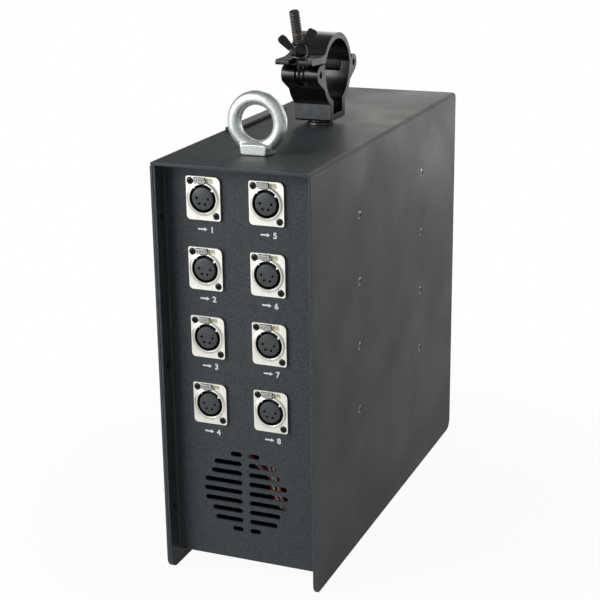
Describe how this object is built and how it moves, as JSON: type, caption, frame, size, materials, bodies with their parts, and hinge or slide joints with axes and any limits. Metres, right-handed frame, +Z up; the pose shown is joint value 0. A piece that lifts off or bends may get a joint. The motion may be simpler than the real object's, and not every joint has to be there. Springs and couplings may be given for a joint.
{
  "type": "led pixel controller",
  "caption": "Narrow upright sheet steel box that hangs from a truss by a hinged tube clamp and feeds pixel lights from a panel of round locking sockets above a slotted grille",
  "frame": {"origin": "middle of the box's footprint, at the bottom edge of its side plates", "axes": "+Z up, -Y out of the socket panel at the front, +X to the right when that panel is faced"},
  "size_m": [0.12, 0.34, 0.4051],
  "materials": {
    "powder_coat": "fine textured black powder coat on sheet steel",
    "nickel_plate": "satin nickel plated zinc casting",
    "insert_plastic": "dark moulded nylon",
    "latch_metal": "grey plated tab with a ribbed face",
    "zinc_plate": "bright zinc plated forging",
    "black_aluminium": "black anodised aluminium",
    "black_steel": "black oxidised steel",
    "strip_rubber": "black rubber strip with a satin top",
    "supply_case": "plated case",
    "board_laminate": "green board with black terminals and chips",
    "lead_insulation": "red and white insulation",
    "black_plastic": "black moulded plastic",
    "button_plastic": "dark grey moulded plastic"
  },
  "bodies": {
    "box": {"outer_cover": "powder_coat", "left_side_cover": "powder_coat", "front_panel": "powder_coat", "rear_panel": "powder_coat", "floor_panel": "powder_coat", "output_shell_1": "nickel_plate", "output_shell_2": "nickel_plate", "output_shell_3": "nickel_plate", "output_shell_4": "nickel_plate", "output_shell_5": "nickel_plate", "output_shell_6": "nickel_plate", "output_shell_7": "nickel_plate", "output_shell_8": "nickel_plate", "output_insert_1": "insert_plastic", "output_insert_2": "insert_plastic", "output_insert_3": "insert_plastic", "output_insert_4": "insert_plastic", "output_insert_5": "insert_plastic", "output_insert_6": "insert_plastic", "output_insert_7": "insert_plastic", "output_insert_8": "insert_plastic", "lifting_eye": "zinc_plate", "top_strip": "strip_rubber", "upper_power_supply": "supply_case", "lower_power_supply": "supply_case", "driver_board": "board_laminate", "output_lead_1": "lead_insulation", "output_lead_2": "lead_insulation", "output_lead_3": "lead_insulation", "fan_frame": "black_plastic", "mains_inlet": "black_plastic", "switch_frame": "black_plastic", "data_input": "nickel_plate", "data_output": "nickel_plate", "display_module": "black_plastic", "clamp_bolt": "black_steel", "clamp_washer": "black_steel", "clamp_spring_washer": "black_steel"},
    "clamp": {"clamp_body": "black_aluminium", "swing_bolt_pin": "black_steel", "jaw_hinge_pin": "black_steel"},
    "jaw": {"clamp_jaw": "black_aluminium"},
    "bolt": {"swing_bolt": "black_steel"},
    "nut_washer": {"wing_washer": "black_steel"},
    "nut": {"wing_nut": "black_steel"},
    "rotor": {"fan_rotor": "black_plastic"},
    "rocker": {"switch_rocker": "black_plastic"},
    "drawer": {"fuse_drawer": "black_plastic"},
    "latch_1": {"output_latch_1": "latch_metal"},
    "latch_2": {"output_latch_2": "latch_metal"},
    "latch_3": {"output_latch_3": "latch_metal"},
    "latch_4": {"output_latch_4": "latch_metal"},
    "latch_5": {"output_latch_5": "latch_metal"},
    "latch_6": {"output_latch_6": "latch_metal"},
    "latch_7": {"output_latch_7": "latch_metal"},
    "latch_8": {"output_latch_8": "latch_metal"},
    "button_1": {"menu_button_1": "button_plastic"},
    "button_2": {"menu_button_2": "button_plastic"},
    "button_3": {"menu_button_3": "button_plastic"},
    "button_4": {"menu_button_4": "button_plastic"}
  },
  "joints": [
    {"name": "clamp_swivel", "type": "hinge", "parent": "box", "child": "clamp", "pos_m": [0, 0.0006, 0.317], "axis": [0, 0, 1], "continuous": true},
    {"name": "jaw_opening", "type": "hinge", "parent": "clamp", "child": "jaw", "pos_m": [0, 0.0361, 0.3557], "axis": [1, 0, 0], "range_deg": [-7.22, 0]},
    {"name": "bolt_swing", "type": "hinge", "parent": "clamp", "child": "bolt", "pos_m": [0, -0.0349, 0.3557], "axis": [1, 0, 0], "range_deg": [-17, 0]},
    {"name": "nut_travel", "type": "slide", "parent": "bolt", "child": "nut_washer", "axis": [0, -0.2924, 0.9563], "range_m": [0, 0.012]},
    {"name": "nut_turn", "type": "hinge", "parent": "nut_washer", "child": "nut", "pos_m": [0, -0.0349, 0.3557], "axis": [0, -0.2924, 0.9563], "range_deg": [0, 2160]},
    {"name": "fan_spin", "type": "hinge", "parent": "box", "child": "rotor", "pos_m": [0.00035, 0.1445, 0.0662], "axis": [0, 1, 0], "continuous": true},
    {"name": "switch_rock", "type": "hinge", "parent": "box", "child": "rocker", "pos_m": [-0.026, 0.1586, 0.138], "axis": [1, 0, 0], "range_deg": [-18, 0]},
    {"name": "fuse_drawer_pull", "type": "slide", "parent": "box", "child": "drawer", "axis": [0, 1, 0], "range_m": [0, 0.016]},
    {"name": "latch_press_1", "type": "slide", "parent": "box", "child": "latch_1", "axis": [0, 1, 0], "range_m": [0, 0.0012], "stiffness_N_per_m": 400, "springref_m": -0.001},
    {"name": "latch_press_2", "type": "slide", "parent": "box", "child": "latch_2", "axis": [0, 1, 0], "range_m": [0, 0.0012], "stiffness_N_per_m": 400, "springref_m": -0.001},
    {"name": "latch_press_3", "type": "slide", "parent": "box", "child": "latch_3", "axis": [0, 1, 0], "range_m": [0, 0.0012], "stiffness_N_per_m": 400, "springref_m": -0.001},
    {"name": "latch_press_4", "type": "slide", "parent": "box", "child": "latch_4", "axis": [0, 1, 0], "range_m": [0, 0.0012], "stiffness_N_per_m": 400, "springref_m": -0.001},
    {"name": "latch_press_5", "type": "slide", "parent": "box", "child": "latch_5", "axis": [0, 1, 0], "range_m": [0, 0.0012], "stiffness_N_per_m": 400, "springref_m": -0.001},
    {"name": "latch_press_6", "type": "slide", "parent": "box", "child": "latch_6", "axis": [0, 1, 0], "range_m": [0, 0.0012], "stiffness_N_per_m": 400, "springref_m": -0.001},
    {"name": "latch_press_7", "type": "slide", "parent": "box", "child": "latch_7", "axis": [0, 1, 0], "range_m": [0, 0.0012], "stiffness_N_per_m": 400, "springref_m": -0.001},
    {"name": "latch_press_8", "type": "slide", "parent": "box", "child": "latch_8", "axis": [0, 1, 0], "range_m": [0, 0.0012], "stiffness_N_per_m": 400, "springref_m": -0.001},
    {"name": "button_press_1", "type": "slide", "parent": "box", "child": "button_1", "axis": [0, -1, 0], "range_m": [0, 0.001], "stiffness_N_per_m": 300, "springref_m": -0.001},
    {"name": "button_press_2", "type": "slide", "parent": "box", "child": "button_2", "axis": [0, -1, 0], "range_m": [0, 0.001], "stiffness_N_per_m": 300, "springref_m": -0.001},
    {"name": "button_press_3", "type": "slide", "parent": "box", "child": "button_3", "axis": [0, -1, 0], "range_m": [0, 0.001], "stiffness_N_per_m": 300, "springref_m": -0.001},
    {"name": "button_press_4", "type": "slide", "parent": "box", "child": "button_4", "axis": [0, -1, 0], "range_m": [0, 0.001], "stiffness_N_per_m": 300, "springref_m": -0.001}
  ],
  "couplings": [
    {"joint": "jaw_opening", "follows": "nut_travel", "rad_per_m": -10.5},
    {"joint": "nut_turn", "follows": "nut_travel", "rad_per_m": 3141.6}
  ]
}
